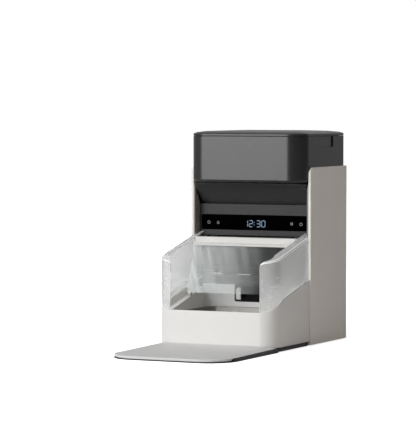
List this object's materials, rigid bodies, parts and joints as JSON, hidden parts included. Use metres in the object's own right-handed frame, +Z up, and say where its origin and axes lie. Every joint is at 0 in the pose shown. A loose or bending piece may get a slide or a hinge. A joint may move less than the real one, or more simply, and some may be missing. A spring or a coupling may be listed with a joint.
{
  "type": "microchip pet feeder",
  "caption": "Tall dry-food feeder with a dark hopper and lid on a column, a display, clear side guards, a sliding clear cover and a steel bowl in a white base with a step mat.",
  "frame": {"origin": "middle of the whole footprint, on the floor", "axes": "+X to the right seen from the front, +Y to the back, +Z up"},
  "size_m": [0.2, 0.4348, 0.3252],
  "materials": {
    "white_abs": "fine satin warm white ABS",
    "charcoal_abs": "satin charcoal ABS with a fine grain",
    "clear_polycarbonate": "slightly milky clear polycarbonate",
    "black_glass_plastic": "polished black",
    "grey_mat_plastic": "matte light grey mat",
    "black_rubber": "matte black rubber",
    "stainless_steel": "satin stainless steel",
    "white_nylon": "white acetal or nylon",
    "brass": "plain brass",
    "circuit_board": "green solder mask on a fibreglass board"
  },
  "bodies": {
    "feeder": {"base_plate": "charcoal_abs", "front_pad": "black_rubber", "rear_pad": "black_rubber", "step_tray": "charcoal_abs", "step_mat": "grey_mat_plastic", "base_housing": "white_abs", "side_panel_left": "white_abs", "side_panel_right": "white_abs", "guard_left": "clear_polycarbonate", "guard_right": "clear_polycarbonate", "cheek_left": "charcoal_abs", "cheek_right": "charcoal_abs", "column_front": "charcoal_abs", "column_post_left": "charcoal_abs", "column_post_right": "charcoal_abs", "face_panel": "charcoal_abs", "display_window": "black_glass_plastic", "control_board": "circuit_board", "hopper_deck": "charcoal_abs", "outlet_hood": "charcoal_abs", "hood_latch": "white_nylon", "cover_rail_left": "charcoal_abs", "cover_rail_right": "charcoal_abs", "drive_motor": "stainless_steel", "dispenser_housing": "charcoal_abs", "feed_motor": "stainless_steel", "chute": "black_glass_plastic", "outlet_sensor": "white_nylon", "battery_tray": "charcoal_abs", "battery_contact_low": "brass", "battery_contact_high": "brass", "rear_cover": "charcoal_abs", "cover_screw_left": "stainless_steel", "cover_screw_right": "stainless_steel", "power_inlet": "black_glass_plastic", "antenna_board": "circuit_board"},
    "bowl": {"bowl": "stainless_steel"},
    "cover": {"cover_bar": "white_abs", "cover_flap": "clear_polycarbonate", "cover_roof": "clear_polycarbonate", "cover_glide_left": "white_nylon", "cover_glide_right": "white_nylon", "cover_rack_left": "white_nylon", "cover_rack_right": "white_nylon"},
    "cover_drive": {"drive_shaft": "stainless_steel", "drive_pinion_left": "white_nylon", "drive_pinion_right": "white_nylon", "drive_gear": "white_nylon"},
    "cover_motor_pinion": {"drive_motor_pinion": "brass"},
    "food_rotor": {"rotor": "white_nylon", "rotor_shaft": "stainless_steel", "rotor_gear": "white_nylon"},
    "feed_motor_pinion": {"feed_motor_pinion": "brass"},
    "hopper": {"hopper_tank": "charcoal_abs", "hopper_funnel": "charcoal_abs"},
    "lid": {"hopper_lid": "charcoal_abs", "lid_seal": "black_rubber", "desiccant_cup": "white_nylon"},
    "battery_cover": {"battery_cover": "charcoal_abs"}
  },
  "joints": [
    {"name": "bowl_lift", "type": "slide", "parent": "feeder", "child": "bowl", "axis": [0, 0, 1], "range_m": [0, 0.006]},
    {"name": "cover_slide", "type": "slide", "parent": "feeder", "child": "cover", "axis": [0, -0.9713, -0.238], "range_m": [0, 0.066]},
    {"name": "drive_spin", "type": "hinge", "parent": "feeder", "child": "cover_drive", "pos_m": [0, 0.1146, 0.15181], "axis": [1, 0, 0], "range_deg": [0, 474]},
    {"name": "drive_motor_spin", "type": "hinge", "parent": "feeder", "child": "cover_motor_pinion", "pos_m": [0, 0.12692, 0.14146], "axis": [1, 0, 0], "range_deg": [-790, 0]},
    {"name": "rotor_spin", "type": "hinge", "parent": "feeder", "child": "food_rotor", "pos_m": [0, 0.1908, 0.2152], "axis": [1, 0, 0], "continuous": true},
    {"name": "feed_motor_spin", "type": "hinge", "parent": "feeder", "child": "feed_motor_pinion", "pos_m": [0, 0.16971, 0.2152], "axis": [1, 0, 0], "continuous": true},
    {"name": "hopper_lift", "type": "slide", "parent": "feeder", "child": "hopper", "axis": [0, 0, 1], "range_m": [0, 0.12]},
    {"name": "lid_lift", "type": "slide", "parent": "hopper", "child": "lid", "axis": [0, 0, 1], "range_m": [0, 0.08]},
    {"name": "battery_cover_slide", "type": "slide", "parent": "feeder", "child": "battery_cover", "axis": [0, 1, 0], "range_m": [0, 0.03]}
  ],
  "couplings": [
    {"joint": "drive_spin", "follows": "cover_slide", "rad_per_m": 125.06},
    {"joint": "drive_motor_spin", "follows": "cover_slide", "rad_per_m": -208.44},
    {"joint": "feed_motor_spin", "follows": "rotor_spin", "ratio": -2.5}
  ]
}
